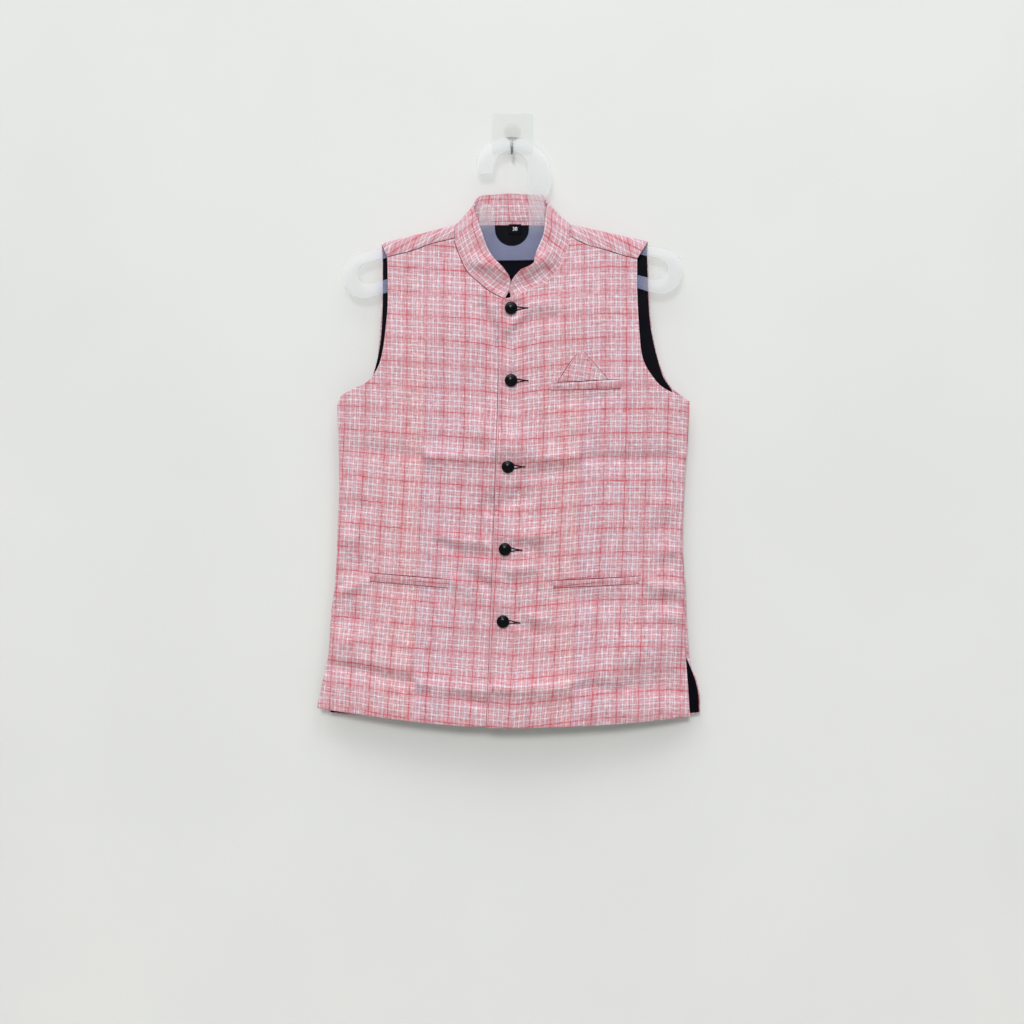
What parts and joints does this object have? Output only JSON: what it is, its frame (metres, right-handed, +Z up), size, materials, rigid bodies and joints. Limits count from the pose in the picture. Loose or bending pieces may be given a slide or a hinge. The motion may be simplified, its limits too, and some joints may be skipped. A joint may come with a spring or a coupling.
{
  "type": "nehru jacket on a hanger",
  "caption": "Sleeveless check nehru jacket with a band collar, round front buttons and welt pockets, on a flat clear hanger and wall hook.",
  "frame": {"origin": "centre of the wall pad's back face, on the wall", "axes": "+X to the viewer's right, +Y into the wall, +Z up; the jacket's front faces -Y"},
  "size_m": [0.5517, 0.0491, 0.8869],
  "materials": {
    "check_cloth": "matte plain weave, pink ground with white and red lines",
    "navy_lining": "smooth satin lining, blue black",
    "black_label": "woven tape, black",
    "black_button": "polished black",
    "frosted_plastic": "frosted, translucent",
    "clear_plastic": "clear, glossy",
    "hook_steel": "drawn wire"
  },
  "bodies": {
    "root": {"front_right": "check_cloth", "front_left": "check_cloth", "back": "check_cloth", "back_lining": "navy_lining", "collar": "check_cloth", "welt_chest": "check_cloth", "welt_lower_right": "check_cloth", "welt_lower_left": "check_cloth", "pocket_square": "check_cloth", "size_label": "black_label", "neck_label": "black_label", "button_1": "black_button", "button_2": "black_button", "button_3": "black_button", "button_4": "black_button", "button_5": "black_button", "hanger": "frosted_plastic", "wall_pad": "clear_plastic", "hook_boss": "clear_plastic", "hook_wire": "hook_steel"}
  },
  "joints": []
}
